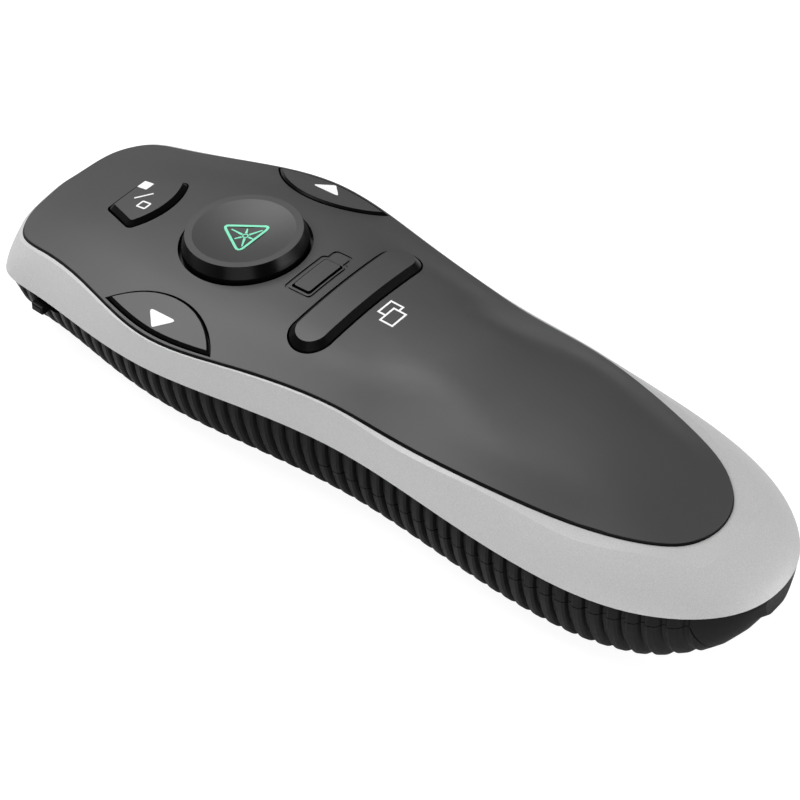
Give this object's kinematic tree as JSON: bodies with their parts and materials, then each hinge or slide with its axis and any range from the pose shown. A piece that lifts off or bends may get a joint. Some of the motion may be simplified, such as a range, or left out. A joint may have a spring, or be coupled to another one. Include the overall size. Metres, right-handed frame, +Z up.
{
  "type": "wireless presentation clicker",
  "caption": "Handheld presentation remote with sprung keys, laser pointer key, power slide, ribbed grip, battery door and stowed USB receiver.",
  "frame": {"origin": "on the resting plane, at the middle of the length and the width", "axes": "+Y towards the nose (laser window), +X to the side of the next key, +Z up through the keys"},
  "size_m": [0.0446, 0.1316, 0.0262],
  "materials": {
    "shell_plastic": "satin black moulded plastic",
    "silver_plastic": "silver-grey painted plastic, satin",
    "cover_plastic": "dark grey, fine satin texture",
    "key_plastic": "dark grey, satin",
    "gloss_key": "dark grey, glossy sloping side and satin dish",
    "tinted_window": "dark tinted, polished",
    "board": "green solder mask",
    "switch_black": "black moulded",
    "led_epoxy": "clear epoxy",
    "steel": "plated",
    "brass": "turned",
    "clear_lens": "polished",
    "cell_jacket": "plain printed jacket"
  },
  "bodies": {
    "casing": {"lower_shell": "shell_plastic", "side_band": "silver_plastic", "top_cover": "cover_plastic", "gauge_lens": "key_plastic", "nose_window": "tinted_window", "main_board": "board", "key_switches": "switch_black", "switch_plungers": "switch_black", "radio_chip": "switch_black", "crystal_can": "steel", "status_led": "led_epoxy", "power_switch_body": "steel", "laser_barrel": "brass", "laser_lens": "clear_lens", "laser_diode": "brass", "battery_cell_left": "cell_jacket", "battery_cell_right": "cell_jacket", "battery_springs": "steel", "bridge_contact": "steel", "nose_contacts": "steel", "case_screws": "steel", "board_screws": "steel"},
    "door": {"battery_door": "shell_plastic"},
    "laser_key": {"laser_button": "gloss_key"},
    "blank_key": {"blank_button": "key_plastic"},
    "previous_key": {"previous_button": "key_plastic"},
    "next_key": {"next_button": "key_plastic"},
    "bar_key": {"bar_button": "key_plastic"},
    "knob": {"power_knob": "shell_plastic"},
    "receiver": {"receiver_body": "shell_plastic", "receiver_plug": "steel", "receiver_tongue": "switch_black"}
  },
  "joints": [
    {"name": "laser_press", "type": "slide", "parent": "casing", "child": "laser_key", "axis": [0, 0, -1], "range_m": [0, 0.0006], "stiffness_N_per_m": 800, "springref_m": -0.001},
    {"name": "blank_press", "type": "slide", "parent": "casing", "child": "blank_key", "axis": [0, 0, -1], "range_m": [0, 0.0006], "stiffness_N_per_m": 800, "springref_m": -0.001},
    {"name": "previous_press", "type": "slide", "parent": "casing", "child": "previous_key", "axis": [0, 0, -1], "range_m": [0, 0.0006], "stiffness_N_per_m": 800, "springref_m": -0.001},
    {"name": "next_press", "type": "slide", "parent": "casing", "child": "next_key", "axis": [0, 0, -1], "range_m": [0, 0.0006], "stiffness_N_per_m": 800, "springref_m": -0.001},
    {"name": "bar_press", "type": "slide", "parent": "casing", "child": "bar_key", "axis": [0, 0, -1], "range_m": [0, 0.0006], "stiffness_N_per_m": 800, "springref_m": -0.001},
    {"name": "power_slide", "type": "slide", "parent": "casing", "child": "knob", "axis": [0, -1, 0], "range_m": [0, 0.002]},
    {"name": "door_swing", "type": "hinge", "parent": "casing", "child": "door", "pos_m": [0, 0.0004, 0.00145], "axis": [1, 0, 0], "range_deg": [0, 25]},
    {"name": "receiver_pull", "type": "slide", "parent": "casing", "child": "receiver", "axis": [0, 0, -1], "range_m": [0, 0.008]}
  ]
}
